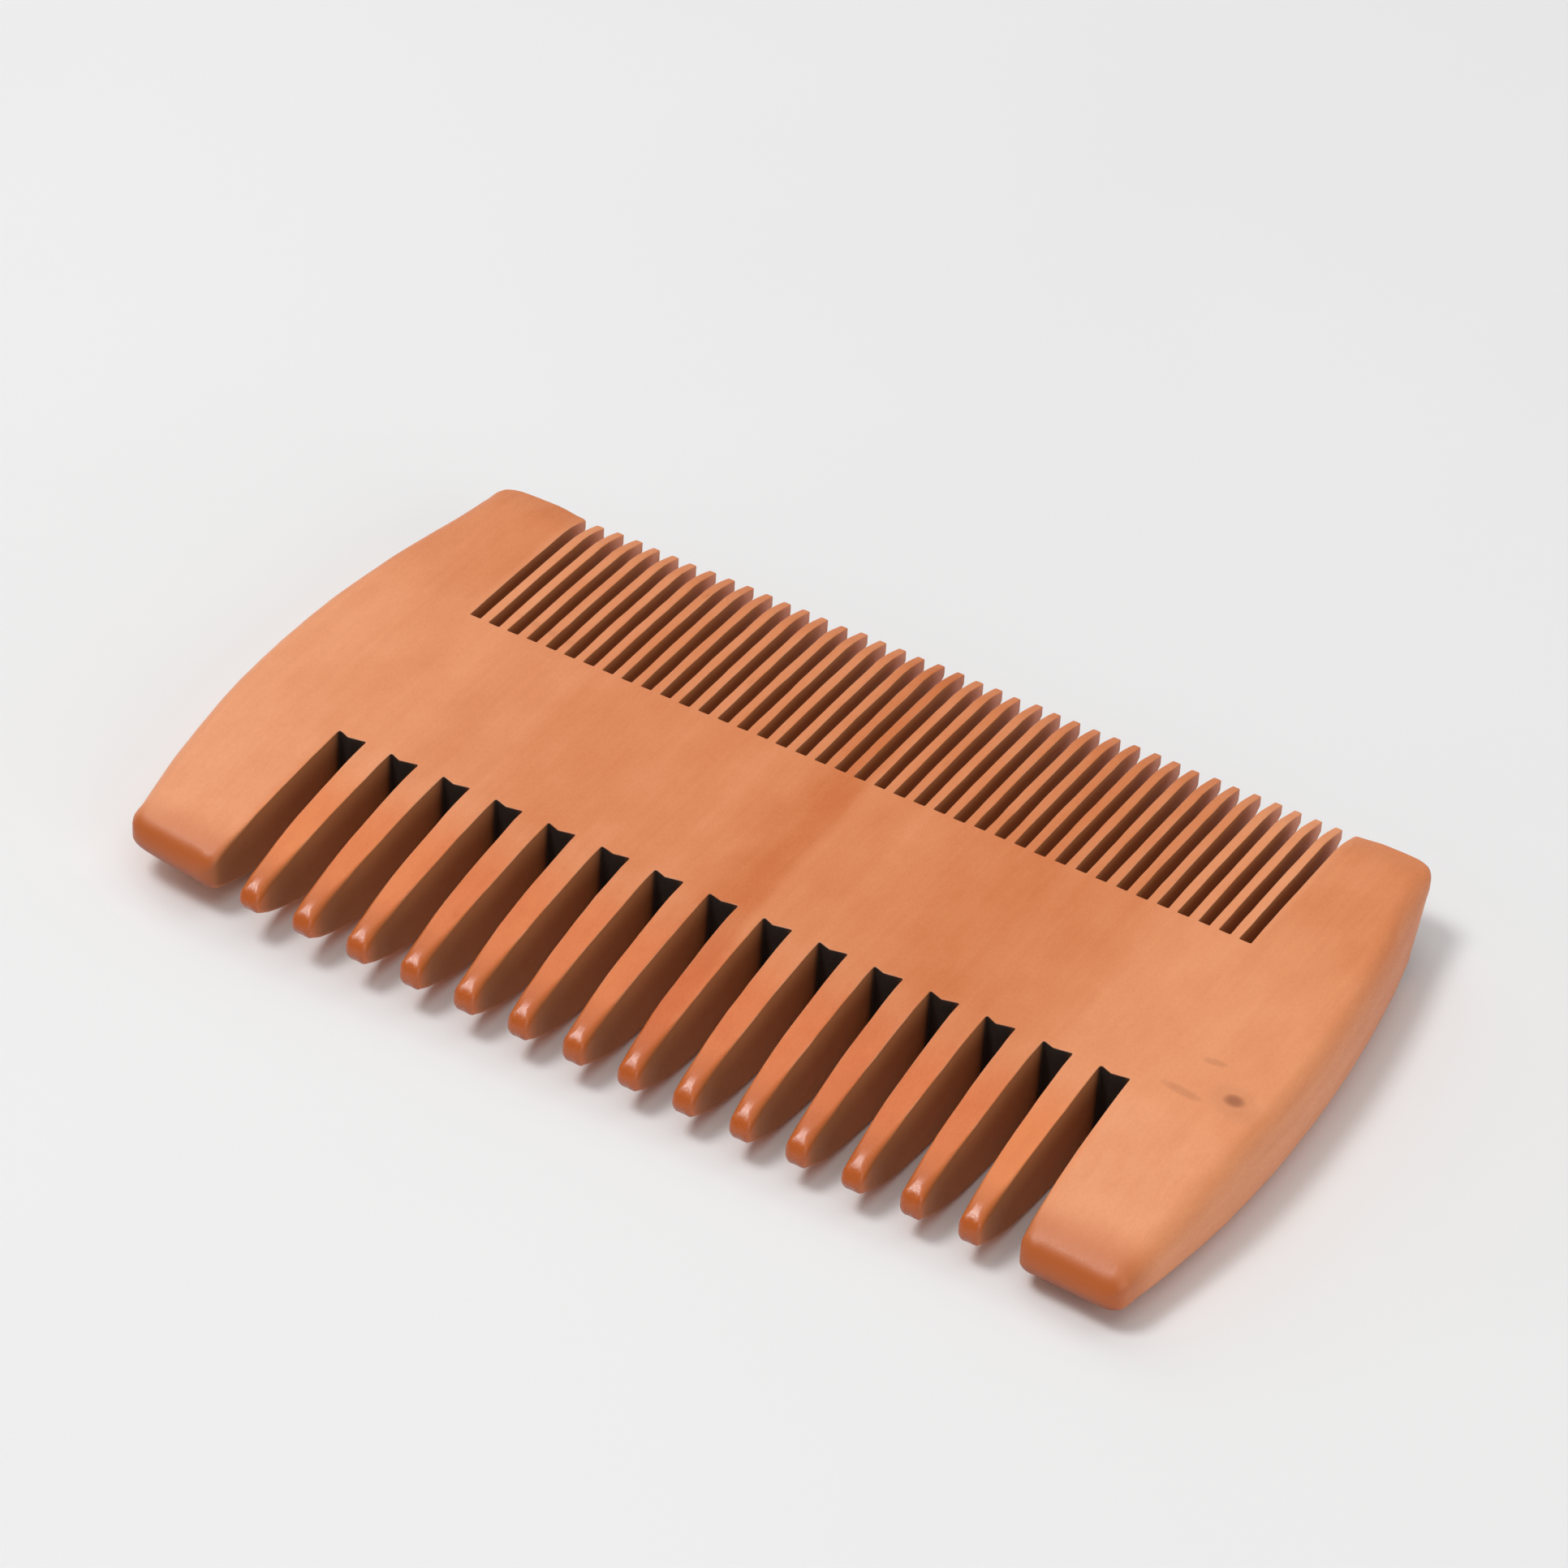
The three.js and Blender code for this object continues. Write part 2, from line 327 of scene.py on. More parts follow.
def rounded_corner(before, corner, after):
    """The arc that replaces a corner, and the largest rounding that fits inside it."""
    if corner.radius == 0:
        return [corner.place], corner.limit
    a = unit(before.place - corner.place)
    b = unit(after.place - corner.place)
    half = math.acos(np.clip(a @ b, -1, 1)) / 2
    start = corner.place + a * corner.radius / math.tan(half)
    end = corner.place + b * corner.radius / math.tan(half)
    centre = corner.place + unit(a + b) * corner.radius / math.sin(half)
    first = math.atan2(*(start - centre)[::-1])
    turn = math.atan2(*(end - centre)[::-1]) - first
    turn = (turn + math.pi) % math.tau - math.pi
    steps, room = (4, TIGHT_ROOM) if corner.radius < TIGHT_RADIUS else (8, ROOM)
    bulges = a[0] * b[1] - a[1] * b[0] < 0
    limit = room * corner.radius if bulges else NO_LIMIT
    return arc(centre, corner.radius, first, first + turn, steps), limit


def trace(corners):
    """Points along the outline, with their kind, pull and limit."""
    points, kinds, pulls, limits = [], [], [], []

    def add(place, kind, pull, limit):
        points.append(place)
        kinds.append(kind)
        pulls.append(pull)
        limits.append(limit)

    count = len(corners)
    arcs = [rounded_corner(corners[i - 1], c, corners[(i + 1) % count]) for i, c in enumerate(corners)]
    for i, corner in enumerate(corners):
        curve, limit = arcs[i]
        for place in curve:
            add(place, corner.kind, corner.pull, limit)
        following = corners[(i + 1) % count]
        goal = arcs[(i + 1) % count][0][0]
        gap = np.linalg.norm(goal - curve[-1])
        pieces = max(1, math.ceil(gap / corner.step))
        stops = np.arange(1, pieces) / pieces
        if gap > LONG_SIDE:
            stops = (1 - np.cos(math.pi * stops)) / 2
        for t in stops:
            pull = corner.pull + (following.pull - corner.pull) * t
            add(curve[-1] + (goal - curve[-1]) * t, corner.kind, pull, NO_LIMIT)
    return np.array(points), np.array(kinds), np.array(pulls, float), np.array(limits)


def narrowed(points, pulls):
    """Draws the sides of the teeth together towards their tips."""
    moved = points.copy()
    for tip, sign, row in ((COARSE_TIP, 1, "coarse"), (FINE_TIP, -1, "fine")):
        amount, length = NARROWING[row]
        beyond = 1 - sign * (points[:, 1] - tip) / length
        moved[:, 0] += pulls * amount * np.clip(beyond, 0, 1) ** NARROWING_CURVE
    return moved


def inward_normals(points):
    along = np.roll(points, -1, axis=0) - np.roll(points, 1, axis=0)
    along /= np.linalg.norm(along, axis=1)[:, None]
    return np.stack([-along[:, 1], along[:, 0]], axis=1)


def smoothed_along(points, values, reach):
    """Averages values over the points of the loop that lie within reach of each other."""
    steps = np.linalg.norm(np.roll(points, -1, axis=0) - points, axis=1)
    total = steps.sum()
    here = np.concatenate([[0], np.cumsum(steps)[:-1]])
    grid = np.arange(0, total, 0.1)
    even = np.interp(grid, here, values, period=total)
    width = max(1, round(reach / 0.1)) | 1
    padded = np.concatenate([even[-width:], even, even[:width]])
    mean = np.convolve(padded, np.ones(width) / width, "same")[width:-width]
    return np.interp(here, grid, mean, period=total)


def spread_limits(points, limits):
    """Lets the limit of each tight corner grow by no more than the distance from it along the loop."""
    steps = np.linalg.norm(np.roll(points, -1, axis=0) - points, axis=1)
    spread = limits.copy()
    count = len(points)
    for i in range(2 * count):
        here = i % count
        spread[here] = min(spread[here], spread[here - 1] + steps[here - 1])
    for i in range(2 * count, 0, -1):
        here = i % count
        spread[here - 1] = min(spread[here - 1], spread[here] + steps[here - 1])
    return spread


def edge_rounding(points, kinds, limits):
    """How far in the edge is rounded, how much further in its support lies, and how far down."""
    y = points[:, 1]
    limits = spread_limits(points, limits)
    grown = ease(1 - (y - COARSE_TIP - NOSE_EDGE_START) / NOSE_EDGE_LENGTH)
    inset = np.full(len(y), FINE_EDGE[0])
    drop = np.full(len(y), FINE_EDGE[1])
    sawn = np.isin(kinds, ["coarse", "gullet", "nose"])
    inset[sawn] = (SAWN_EDGE[0] + (NOSE_EDGE[0] - SAWN_EDGE[0]) * grown)[sawn]
    drop[sawn] = (SAWN_EDGE[1] + (NOSE_EDGE[1] - SAWN_EDGE[1]) * grown)[sawn]
    for kind, size in (("guard_coarse", GUARD_COARSE_END), ("guard_fine", GUARD_FINE_END)):
        inset[kinds == kind] = size[0]
        drop[kinds == kind] = size[1]
    inset[kinds == "bow"] = BOW_EDGE
    half = (top_height(*points.T) + under_depth(*points.T)) / 2
    drop[kinds == "bow"] = (BOW_SHARE * half)[kinds == "bow"]
    for blend in (WIDE_BLEND, TIGHT_BLEND):
        inset = np.minimum(smoothed_along(points, inset, blend), EDGE_SHARE * limits)
    drop = smoothed_along(points, drop, WIDE_BLEND)
    support = np.minimum(SUPPORT, limits - inset)
    return inset, support, np.minimum(drop, half - LEAST_FLAT)


# ---- The mesh ----
def inside(points, loop):
    """Which points lie inside a closed loop, by counting the edges to their right."""
    found = np.zeros(len(points), bool)
    for (x0, y0), (x1, y1) in zip(loop, np.roll(loop, -1, axis=0)):
        if y0 == y1:
            continue
        spans = (y0 > points[:, 1]) != (y1 > points[:, 1])
        found ^= spans & (points[:, 0] < x0 + (points[:, 1] - y0) * (x1 - x0) / (y1 - y0))
    return found


def filling(loop, spacing=0.8):
    """Points spread over the inside of the loop, and the triangles that join them to it."""
    xs = np.arange(-HALF_LENGTH, HALF_LENGTH, spacing)
    ys = np.arange(COARSE_TIP, FINE_TIP, spacing * 0.87)
    gx, gy = np.meshgrid(xs, ys)
    gx[::2] += spacing / 2
    lattice = np.stack([gx.ravel(), gy.ravel()], axis=1)
    lattice = lattice[inside(lattice, loop)]
    tree = KDTree(len(loop))
    for i, (x, y) in enumerate(loop):
        tree.insert((x, y, 0), i)
    tree.balance()
    clear = [tree.find((x, y, 0))[2] > 0.55 * spacing for x, y in lattice]
    lattice = lattice[clear]
    places = [Vector(p) for p in (*loop, *lattice)]
    count = len(loop)
    rim = [(i, (i + 1) % count) for i in range(count)]
    made, _, triangles, _, _, _ = delaunay_2d_cdt(places, rim, [], 1, 1e-5)
    assert len(made) == len(places), "the rim crosses itself"
    return lattice, [tuple(t) for t in triangles]


def board_mesh():
    rng = np.random.default_rng(11)
    corners = [*coarse_side(rng), *right_guard(), *fine_side(rng), *left_guard()]
    points, kinds, pulls, limits = trace(corners)
    points = narrowed(points, pulls)
    normals = inward_normals(points)
    handwork = ripples(3, 12.0, 3.0)(*points.T)
    points = points + normals * (HANDWORK[0] + HANDWORK[1] * handwork)[:, None]
    inset, support, drop = edge_rounding(points, kinds, limits)

    wave_top = ripples(21, 26.0, 7.0)
    wave_under = ripples(22, 26.0, 7.0)

    def level(height, places, below, wave):
        """One face's distance from mid thickness, a drop below its gently uneven height."""
        uneven = FACE_WAVE * np.clip(1 + wave(*places.T), 0, 2)
        return height(*places.T) - below - uneven

    angles = np.linspace(math.pi / 2, 0, RING_STEPS + 1)
    shells = [(points + normals * (inset + support)[:, None], np.zeros(len(points)), 0.0)]
    for angle in angles:
        place = points + normals * (inset * (1 - math.cos(angle)))[:, None]
        shells.append((place, drop * (1 - math.sin(angle)), 1 - angle / (math.pi / 2)))

    rows, shares = [], []
    for place, below, share in shells:
        rows.append(np.column_stack([place, level(top_height, place, below, wave_top)]))
        shares.append(share)
    top_edge = rows[-1][:, 2]
    under_rows, under_shares = [], []
    for place, below, share in reversed(shells):
        depth = level(under_depth, place, below, wave_under)
        under_rows.append(np.column_stack([place, -depth]))
        under_shares.append(share)
    under_edge = under_rows[0][:, 2]
    for t in WALL_STOPS:
        rows.append(np.column_stack([points, top_edge + (under_edge - top_edge) * t]))
        shares.append(1.0)
    rows += under_rows
    shares += under_shares

    lattice, triangles = filling(rows[0][:, :2])
    count = len(points)
    ring = np.arange(count)
    after = np.roll(ring, -1)
    faces = []
    for r in range(len(rows) - 1):
        upper, lower = r * count, (r + 1) * count
        quads = np.stack([upper + ring, lower + ring, lower + after, upper + after], axis=1)
        faces += quads.tolist()
    top_start = len(rows) * count
    under_start = top_start + len(lattice)
    last_row = (len(rows) - 1) * count
    faces += [[i if i < count else i - count + top_start for i in t] for t in triangles]
    for t in triangles:
        turned = [i + last_row if i < count else i - count + under_start for i in reversed(t)]
        faces.append(turned)

    vertices = np.concatenate([
        *rows,
        np.column_stack([lattice, level(top_height, lattice, 0, wave_top)]),
        np.column_stack([lattice, -level(under_depth, lattice, 0, wave_under)]),
    ])
    marks = region_marks(points, kinds, shares, len(lattice))
    return vertices, faces, marks


def region_marks(points, kinds, shares, lattice_count):
    """For each vertex: how much it is a sawn wall, a gullet painted near black for scorching and
    painted shade, and a rim between the two, which carries a painted highlight.
    """
    y = points[:, 1]
    slot = np.isin(kinds, ["coarse", "gullet", "fine", "fine_gullet"]).astype(float)
    slot *= ease((y - COARSE_TIP + 0.5) / 2.0) * ease((FINE_TIP - 0.6 - y) / 3.0)
    # The gullets and the flanks beside them, painted near black for scorching and painted shade.
    scorch_and_shade = np.where(kinds == "gullet", 1.0, 0.0)
    near = np.where(kinds == "coarse", np.clip(1 - (COARSE_ROOT - y) / 1.2, 0, 1) ** 2, 0)
    scorch_and_shade = np.maximum(scorch_and_shade, 0.75 * near)
    slot = smoothed_along(points, slot, 0.5)
    scorch_and_shade = smoothed_along(points, scorch_and_shade, 0.2)
    # Where the slot rims get a painted highlight, fading out near the coarse tips.
    rim_highlight = slot * ease((y - COARSE_TIP - 3.0) / 5.0)
    marks = []
    for share in shares:
        wall = ease((share - 0.35) / 0.6)
        rim = 1 - abs(2 * share - 1) if share < 1 else 0.0
        marks.append(np.column_stack([slot * wall, scorch_and_shade * wall, rim_highlight * rim, np.ones(len(y))]))
    plain = np.tile([0.0, 0.0, 0.0, 1.0], (2 * lattice_count, 1))
    return np.concatenate([*marks, plain])


def skewed(vertices):
    """The comb as it was really cut: its coarse row and its guards are a little out of square."""
    x, y = vertices[:, 0].copy(), vertices[:, 1].copy()
    row = np.clip((FINE_ROOT - y) / (FINE_ROOT - COARSE_ROOT), 0, 1)
    guard = np.clip((abs(x) - ROW_RIGHT) / GUARD_BLEND, 0, 1)
    moved = vertices.copy()
    slope_start = COARSE_ROOT - COARSE_FLAT
    reach = np.clip((slope_start - y) / (slope_start - COARSE_TIP), 0, 1)
    moved[:, 2] -= TIP_SAG * reach**SAG_CURVE * (1 + SAG_LEAN * x - (x / SAG_REACH) ** 2)
    moved[:, 1] -= (ROW_SKEW + GUARD_SKEW * guard) * x * row
    moved[:, 0] -= GUARD_LEAN * (y - WIDEST_Y) * guard
    moved[:, 0] -= LEFT_SPREAD * guard * (x < 0) * ease((FINE_TIP + 2 - y) / SPREAD_LENGTH)
    return moved


def make_board():
    vertices, faces, marks = board_mesh()
    vertices = skewed(vertices)
    vertices[:, 2] += MID
    mesh = bpy.data.meshes.new("comb_board")
    mesh.from_pydata((vertices * MM).tolist(), [], faces)
    mesh.validate()
    mesh.shade_smooth()
    layer = mesh.color_attributes.new("regions", "FLOAT_COLOR", "POINT")
    layer.data.foreach_set("color", marks.ravel())
    board = bpy.data.objects.new("comb_board", mesh)
    bpy.context.collection.objects.link(board)
    return board


# ---- The wood ----
class Nodes:
    """Short ways to add and join shader nodes."""

    def __init__(self, name):
        self.material = bpy.data.materials.new(name)
        self.material.use_nodes = True
        self.tree = self.material.node_tree
        self.tree.nodes.clear()

    def add(self, kind, **settings):
        node = self.tree.nodes.new(kind)
        for key, value in settings.items():
            setattr(node, key, value)
        return node

    def feed(self, socket, value):
        if isinstance(value, bpy.types.NodeSocket):
            self.tree.links.new(value, socket)
        else:
            socket.default_value = value

    def math(self, operation, a, b=0.0, c=0.0, clamp=False):
        node = self.add("ShaderNodeMath", operation=operation, use_clamp=clamp)
        for socket, value in zip(node.inputs, (a, b, c)):
            self.feed(socket, value)
        return node.outputs[0]

    def span(self, value, low, high, out_low=0.0, out_high=1.0):
        node = self.add("ShaderNodeMapRange", interpolation_type="SMOOTHSTEP")
        for socket, number in zip(node.inputs, (value, low, high, out_low, out_high)):
            self.feed(socket, number)
        return node.outputs[0]

    def mix(self, factor, a, b, blend="MIX"):
        node = self.add("ShaderNodeMix", data_type="RGBA", blend_type=blend)
        self.feed(node.inputs[0], factor)
        self.feed(node.inputs[6], a)
        self.feed(node.inputs[7], b)
        return node.outputs[2]

    def vector(self, x, y, z):
        node = self.add("ShaderNodeCombineXYZ")
        for socket, value in zip(node.inputs, (x, y, z)):
            self.feed(socket, value)
        return node.outputs[0]

    def noise(self, vector, scale, detail=2.0, roughness=0.5):
        node = self.add("ShaderNodeTexNoise")
        self.feed(node.inputs["Vector"], vector)
        node.inputs["Scale"].default_value = scale
        node.inputs["Detail"].default_value = detail
        node.inputs["Roughness"].default_value = roughness
        return node.outputs["Fac"]


# Growth rings as (x in mm, tone): each darkens away from the middle, then turns light at once.
RING_TONES = (
    (-50, 0.95), (-44, 0.86), (-38, 0.70), (-33.5, 0.74), (-32.5, 0.64), (-29.5, 0.54),
    (-25, 0.62), (-23.3, 0.46), (-19, 0.40), (-13, 0.50), (-9, 0.40), (-6.5, 0.52),
    (-3, 0.36), (0.5, 0.06), (2.1, 0.08), (2.9, 0.46), (7, 0.36), (8.2, 0.46),
    (13, 0.36), (18, 0.24), (20.8, 0.24), (22.2, 0.34), (28, 0.40), (29.6, 0.50),
    (31.3, 0.72), (36, 0.84), (39.5, 0.88), (44, 0.86), (50, 0.74),
)


def ring_tone(n, x, y, drift):
    """The tone of the growth rings across the comb, wandering a little along the grain."""
    bend = n.math("MULTIPLY", y, 0.055)
    place = n.math("ADD", x, n.math("ADD", bend, n.math("MULTIPLY", drift, 1.2)))
    low, high = RING_TONES[0][0], RING_TONES[-1][0]
    share = n.math("DIVIDE", n.math("SUBTRACT", place, low), high - low)
    ramp = n.add("ShaderNodeFloatCurve")
    curve = ramp.mapping.curves[0]
    stops = [((px - low) / (high - low), tone) for px, tone in RING_TONES]
    curve.points[0].location = stops[0]
    curve.points[1].location = stops[-1]
    for stop in stops[1:-1]:
        curve.points.new(*stop)
    for point in curve.points:
        point.handle_type = "VECTOR"
    ramp.mapping.update()
    n.feed(ramp.inputs["Value"], share)
    return ramp.outputs[0]


def spot(n, x, y, centre, size, angle=0.0):
    """A soft round or long mark on the faces of the comb, 1 at its centre."""
    dx = n.math("SUBTRACT", x, centre[0])
    dy = n.math("SUBTRACT", y, centre[1])
    c, s = math.cos(math.radians(angle)), math.sin(math.radians(angle))
    along = n.math("ADD", n.math("MULTIPLY", dx, c / size[0]), n.math("MULTIPLY", dy, s / size[0]))
    across_y = n.math("MULTIPLY", dy, c / size[1])
    across = n.math("SUBTRACT", across_y, n.math("MULTIPLY", dx, s / size[1]))
    square = n.math("ADD", n.math("MULTIPLY", along, along), n.math("MULTIPLY", across, across))
    return n.span(square, 1.0, 0.0)


LIGHT_WOOD = (0.85, 0.335, 0.150, 1)
DARK_WOOD = (0.63, 0.165, 0.040, 1)
# The end grain's own darker colour, also used as painted shade on faces turned to either end and near
# the coarse ends.
END_GRAIN_SHADE_WOOD = (0.50, 0.110, 0.018, 1)
SHADED_END = (0.34, 0.065, 0.010, 1)
# Painted shade and bounce light on the tops of the coarse teeth.
TOOTH_SHADE_TINT = (0.98, 0.75, 0.48, 1)
SAWN_WOOD = (0.41, 0.180, 0.070, 1)
# Painted shade on the slot walls towards the coarse tips, where the teeth shade each other.
WALL_SHADE_TINT = (0.66, 0.60, 0.52, 1)
# Near black at the gullets: scorching from the saw and painted shade deep in the slots.
SCORCH_AND_SHADE_WOOD = (0.022, 0.014, 0.010, 1)
KNOT_WOOD = (0.22, 0.055, 0.020, 1)
# Painted highlight along the rounded rims of the slots.
RIM_HIGHLIGHT_WOOD = (0.80, 0.47, 0.30, 1)


# A pin knot with its halo, and the streaks round it, as (centre, size, angle, strength).
KNOT_SPOTS = (
    ((46.0, -8.1), (1.1, 0.9), 0, 0.62),
    ((46.2, -8.4), (3.0, 2.2), -30, 0.14),
    ((42.0, -9.4), (2.4, 0.6), -6, 0.22),
    ((42.6, -4.9), (1.3, 0.5), 8, 0.22),
    ((-31.0, 11.5), (5.0, 0.6), -8, 0.12),
)


def place_in_mm(n):
    """X, Y and Z on the comb in millimetres."""
    coords = n.add("ShaderNodeTexCoord").outputs["Object"]
    scaled = n.add("ShaderNodeVectorMath", operation="SCALE")
    n.feed(scaled.inputs[0], coords)
    scaled.inputs["Scale"].default_value = 1 / MM
    parts = n.add("ShaderNodeSeparateXYZ")
    n.feed(parts.inputs[0], scaled.outputs[0])
    return parts.outputs


def grain(n, place, scales, detail, roughness=0.5):
    """A noise field whose marks are longest along the axis with the smallest scale."""
    stretched = [n.math("MULTIPLY", axis, scale) for axis, scale in zip(place, scales)]
    return n.noise(n.vector(*stretched), 1.0, detail, roughness)


def face_colour(n, place, streaks, pores, mottle, within_row):
    """The light and dark of the growth rings, broken up by the grain, with painted shade over the
    guards towards their fine ends.
    """
    x, y, _ = place
    drift = n.math("SUBTRACT", grain(n, place, (0.05, 0.09, 0.0), 2.0), 0.5)
    tone = ring_tone(n, x, y, drift)
    for field, strength in ((mottle, 0.55), (streaks, 0.30), (pores, 0.50)):
        tone = n.math("ADD", tone, n.math("MULTIPLY", n.math("SUBTRACT", field, 0.5), strength))
    # Painted shade: the guards darken towards their fine ends.
    guard_fine = n.math("MULTIPLY", n.span(y, 2.0, 18.0), n.math("SUBTRACT", 1.0, within_row))
    tone = n.math("SUBTRACT", tone, n.math("MULTIPLY", guard_fine, 0.35), clamp=True)
    return n.mix(tone, DARK_WOOD, LIGHT_WOOD)


def oiled(n, colour, y, within_row):
    """Darker where the surface turns across the grain, as the end grain's own colour with painted
    shade on the faces turned to either end; painted shade and bounce light on the coarse teeth,
    painted shade near their ends and on end faces that turn downwards.
    """
    surface = n.add("ShaderNodeNewGeometry")
    facing = n.add("ShaderNodeSeparateXYZ")
    n.feed(facing.inputs[0], surface.outputs["Normal"])
    # Darker on faces turned to either end: the end grain's colour, partly painted shade.
    end_grain_shade = n.span(n.math("ABSOLUTE", facing.outputs["Y"]), 0.30, 0.85)
    colour = n.mix(end_grain_shade, colour, END_GRAIN_SHADE_WOOD)
    # Painted shade and bounce light: the coarse teeth are tinted darker and redder away from their
    # roots.
    tooth_shade = n.math("MULTIPLY", n.span(y, COARSE_ROOT - 1.0, COARSE_ROOT - 9.0), within_row)
    colour = n.mix(tooth_shade, colour, TOOTH_SHADE_TINT, "MULTIPLY")
    # Painted shade on the last few millimetres of the coarse ends.
    near_end = n.math("MULTIPLY", n.span(y, COARSE_TIP + 5.0, COARSE_TIP + 0.5), 0.70)
    colour = n.mix(near_end, colour, END_GRAIN_SHADE_WOOD)
    # Painted shade on end faces that turn downwards.
    facing_down = n.span(n.math("MULTIPLY", facing.outputs["Z"], end_grain_shade), 0.0, -0.6)
    return n.mix(facing_down, colour, SHADED_END)


def knotted(n, colour, x, y):
    for centre, size, angle, strength in KNOT_SPOTS:
        mark = n.math("MULTIPLY", spot(n, x, y, centre, size, angle), strength)
        colour = n.mix(mark, colour, KNOT_WOOD)
    return colour


def sawn(n, colour, y, marks, pores, mottle):
    """The slots: brown walls with painted shade towards the tips, painted highlights along their rims,
    and gullets painted near black for scorching and the shade deep in the slots.
    """
    wall, scorch_and_shade, rim = marks
    wall_colour = n.mix(n.math("MULTIPLY", pores, 0.6), SAWN_WOOD, DARK_WOOD)
    # Painted shade on the walls towards the coarse tips.
    wall_shade = n.span(y, COARSE_TIP + 9.0, COARSE_TIP + 1.0)
    wall_colour = n.mix(wall_shade, wall_colour, WALL_SHADE_TINT, "MULTIPLY")
    colour = n.mix(wall, colour, wall_colour)
    # Painted highlight on the slot rims, broken up by the mottle.
    rim_highlight = n.math("MULTIPLY", rim, n.span(mottle, 0.42, 0.62))
    colour = n.mix(n.math("MULTIPLY", rim_highlight, 0.35), colour, RIM_HIGHLIGHT_WOOD)
    return n.mix(scorch_and_shade, colour, SCORCH_AND_SHADE_WOOD)


def relief(n, place, streaks, pores, wall):
    """Pores on the faces, and saw marks across the slot walls."""
    saw = grain(n, place, (0.5, 5.0, 0.8), 2.0, 0.6)
    height = n.math("ADD", n.math("MULTIPLY", pores, 0.6), n.math("MULTIPLY", streaks, 0.4))
    height = n.math("ADD", height, n.math("MULTIPLY", n.math("MULTIPLY", saw, wall), 1.5))
    bump = n.add("ShaderNodeBump")
    bump.inputs["Strength"].default_value = 0.35
    bump.inputs["Distance"].default_value = 0.05 * MM
    n.feed(bump.inputs["Height"], height)
    return bump.outputs[0]


def roughness(n, y, pores, wall, within_row):
    """Rougher on the sawn walls, and polished by use at the ends of the coarse teeth."""
    polished = n.math("MULTIPLY", n.span(y, COARSE_TIP + 4.0, COARSE_TIP + 1.5), within_row)
    rough = n.span(pores, 0.35, 0.65, 0.50, 0.40)
    rough = n.math("ADD", rough, n.math("MULTIPLY", wall, 0.25))
    return n.math("SUBTRACT", rough, n.math("MULTIPLY", polished, 0.18))


def wood():
    n = Nodes("oiled_fruitwood")
    place = place_in_mm(n)
    x, y, _ = place
    regions = n.add("ShaderNodeVertexColor", layer_name="regions")
    marks = n.add("ShaderNodeSeparateColor")
    n.feed(marks.inputs[0], regions.outputs["Color"])
    wall = marks.outputs[0]

    streaks = grain(n, place, (1.6, 0.07, 0.9), 4.0, 0.6)
    pores = grain(n, place, (7.0, 2.4, 7.0), 3.0, 0.7)
    mottle = grain(n, place, (0.30, 0.17, 1.0), 3.0, 0.6)
    within_row = n.span(n.math("ABSOLUTE", x), ROW_RIGHT + 1.0, ROW_RIGHT - 0.5)

    colour = face_colour(n, place, streaks, pores, mottle, within_row)
    colour = oiled(n, colour, y, within_row)
    colour = knotted(n, colour, x, y)
    colour = sawn(n, colour, y, marks.outputs, pores, mottle)

    shader = n.add("ShaderNodeBsdfPrincipled")
    n.feed(shader.inputs["Base Color"], colour)
    n.feed(shader.inputs["Roughness"], roughness(n, y, pores, wall, within_row))
    n.feed(shader.inputs["Normal"], relief(n, place, streaks, pores, wall))
    out = n.add("ShaderNodeOutputMaterial")
    n.feed(out.inputs["Surface"], shader.outputs[0])
    return n.material


# ---- The stage ----
def pale_floor():
    n = Nodes("pale_floor")
    coords = n.add("ShaderNodeTexCoord").outputs["Object"]
    cloud = n.noise(coords, 9.0, 3.0)
    colour = n.mix(n.span(cloud, 0.3, 0.7), (0.84, 0.84, 0.84, 1), (0.86, 0.86, 0.86, 1))
    shader = n.add("ShaderNodeBsdfPrincipled")
    n.feed(shader.inputs["Base Color"], colour)
    shader.inputs["Roughness"].default_value = 0.55
    shader.inputs["Specular IOR Level"].default_value = 0.2
    out = n.add("ShaderNodeOutputMaterial")
    n.feed(out.inputs["Surface"], shader.outputs[0])
    return n.material


def make_floor():
    side = 4.0
    mesh = bpy.data.meshes.new("floor")
    corners = [(-side, -side, 0), (side, -side, 0), (side, side, 0), (-side, side, 0)]
    mesh.from_pydata(corners, [], [(0, 1, 2, 3)])
    floor = bpy.data.objects.new("floor", mesh)
    floor.data.materials.append(pale_floor())
    bpy.context.collection.objects.link(floor)


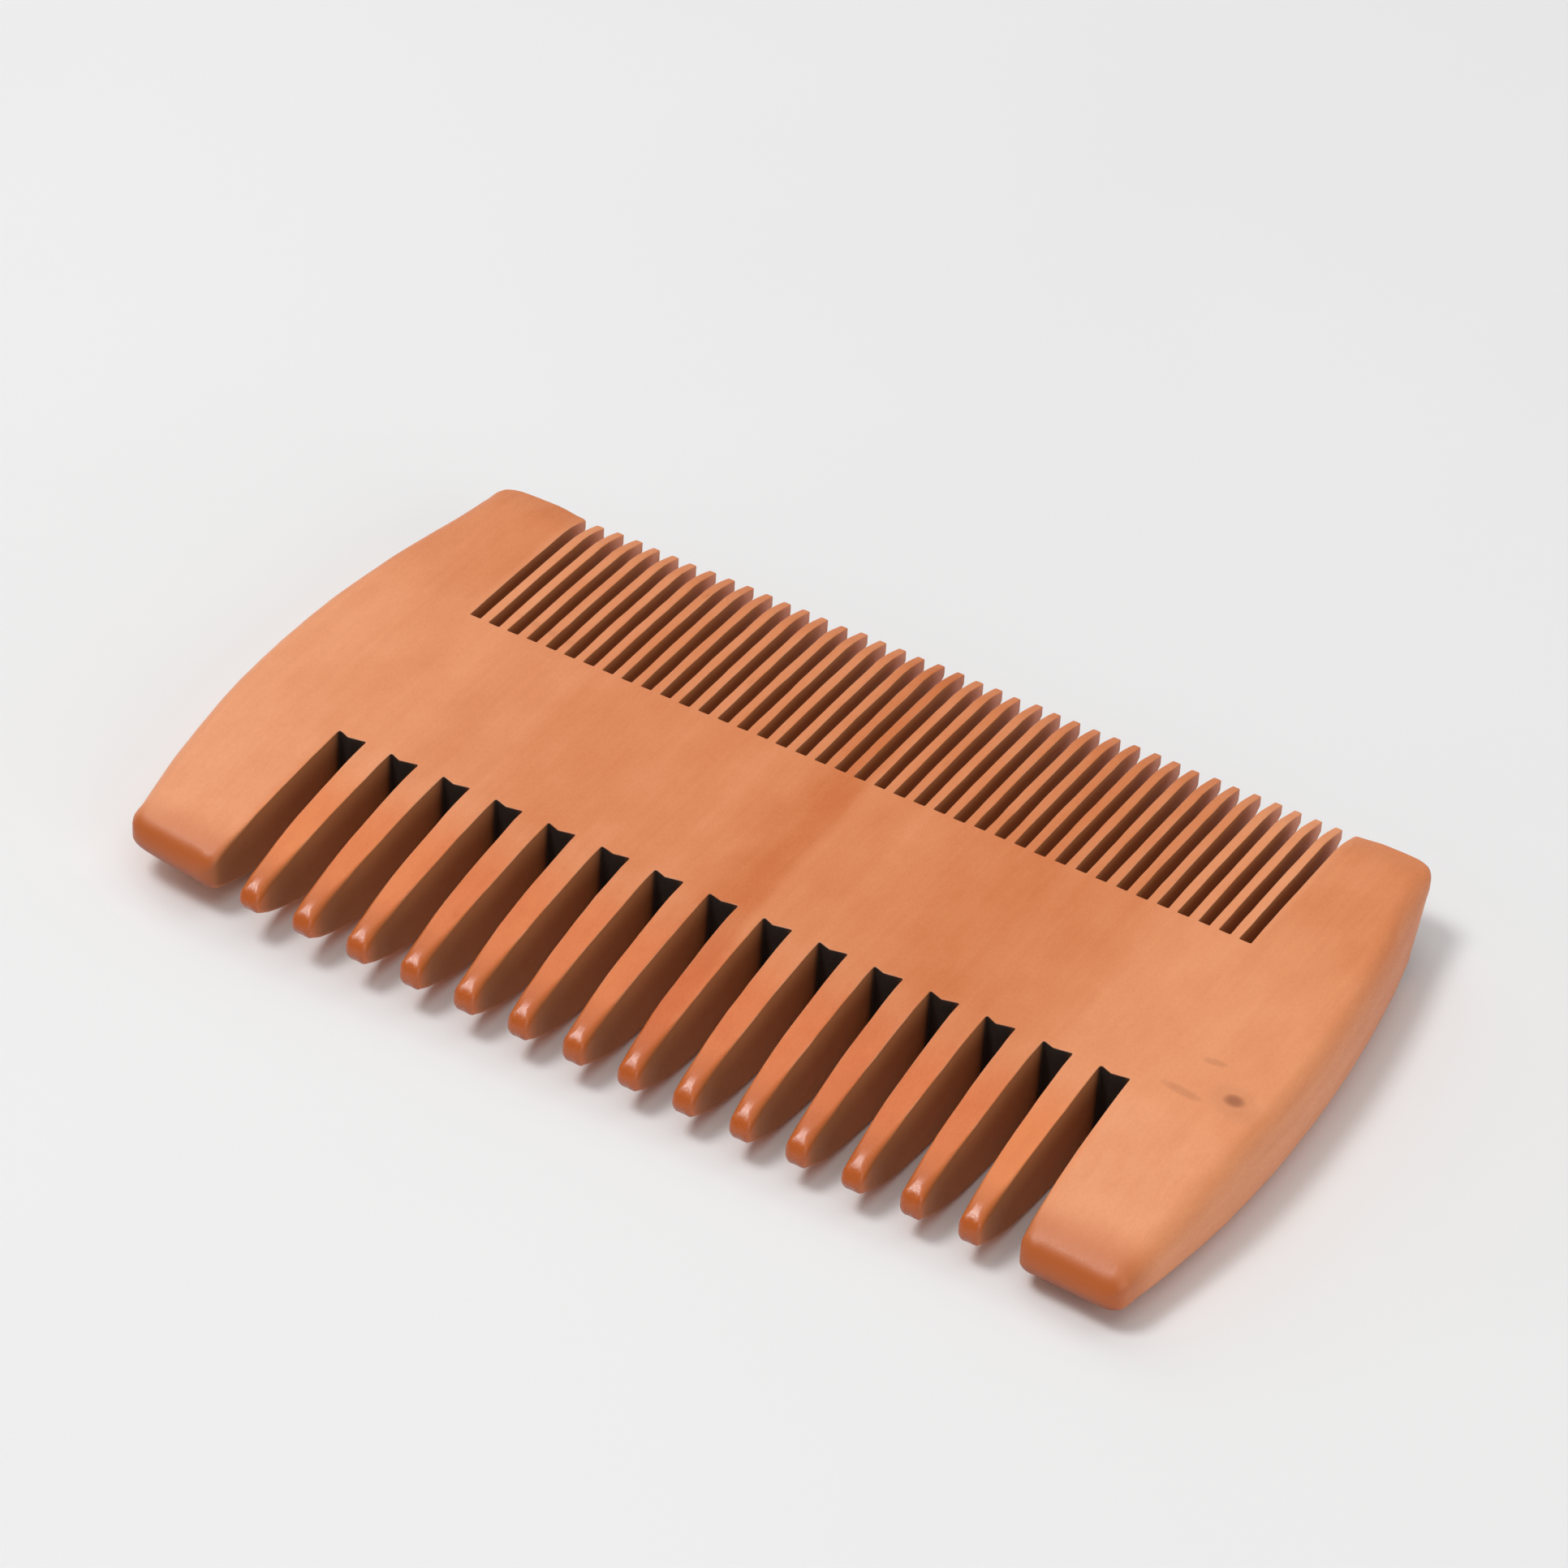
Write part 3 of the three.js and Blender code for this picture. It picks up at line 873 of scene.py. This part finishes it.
def softbox(name, place, size, power, aim=(0, 0, 0)):
    """A square area lamp; its place and size are in metres."""
    lamp = bpy.data.lights.new(name, "AREA")
    lamp.shape = "SQUARE"
    lamp.size = size
    lamp.energy = power
    holder = bpy.data.objects.new(name, lamp)
    holder.location = place
    direction = Vector(aim) - Vector(place)
    holder.rotation_mode = "QUATERNION"
    holder.rotation_quaternion = direction.to_track_quat("-Z", "Y")
    bpy.context.collection.objects.link(holder)


def make_light():
    world = bpy.data.worlds.new("studio")
    world.use_nodes = True
    background = world.node_tree.nodes["Background"]
    background.inputs["Color"].default_value = (1.0, 1.0, 1.0, 1)
    background.inputs["Strength"].default_value = 0.22
    bpy.context.scene.world = world
    softbox("ceiling", (0.0, 0.0, 1.80), 2.40, 15.0)
    softbox("window", (-0.40, -0.32, 1.15), 0.36, 6.0)
    softbox("back_left", (-1.10, 0.60, 0.90), 0.90, 3.0)
    softbox("right", (1.20, -0.50, 0.55), 0.90, 4.2)
    bpy.context.scene.view_settings.view_transform = "Standard"


def make_camera():
    azimuth, elevation, roll = (math.radians(a) for a in (29.32, 38.79, 3.58))
    distance = 520.5
    aim = Vector((-3.79, 5.355, THICKNESS))
    back = Vector((
        math.sin(azimuth) * math.cos(elevation),
        -math.cos(azimuth) * math.cos(elevation),
        math.sin(elevation),
    ))
    right = (-back).cross(Vector((0, 0, 1))).normalized()
    up = back.cross(right)
    across = right * math.cos(roll) + up * math.sin(roll)
    upward = up * math.cos(roll) - right * math.sin(roll)
    turned = Matrix((across, upward, back)).transposed().to_4x4()
    data = bpy.data.cameras.new("camera")
    data.sensor_width = 36
    data.lens = 144.0
    camera = bpy.data.objects.new("camera", data)
    camera.matrix_world = Matrix.Translation((aim + back * distance) * MM) @ turned
    data.clip_start = 0.01
    data.clip_end = 20
    bpy.context.collection.objects.link(camera)
    bpy.context.scene.camera = camera


make_camera()
board = make_board()
board.data.materials.append(wood())
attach(board, "root")
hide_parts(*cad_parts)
make_floor()
make_light()
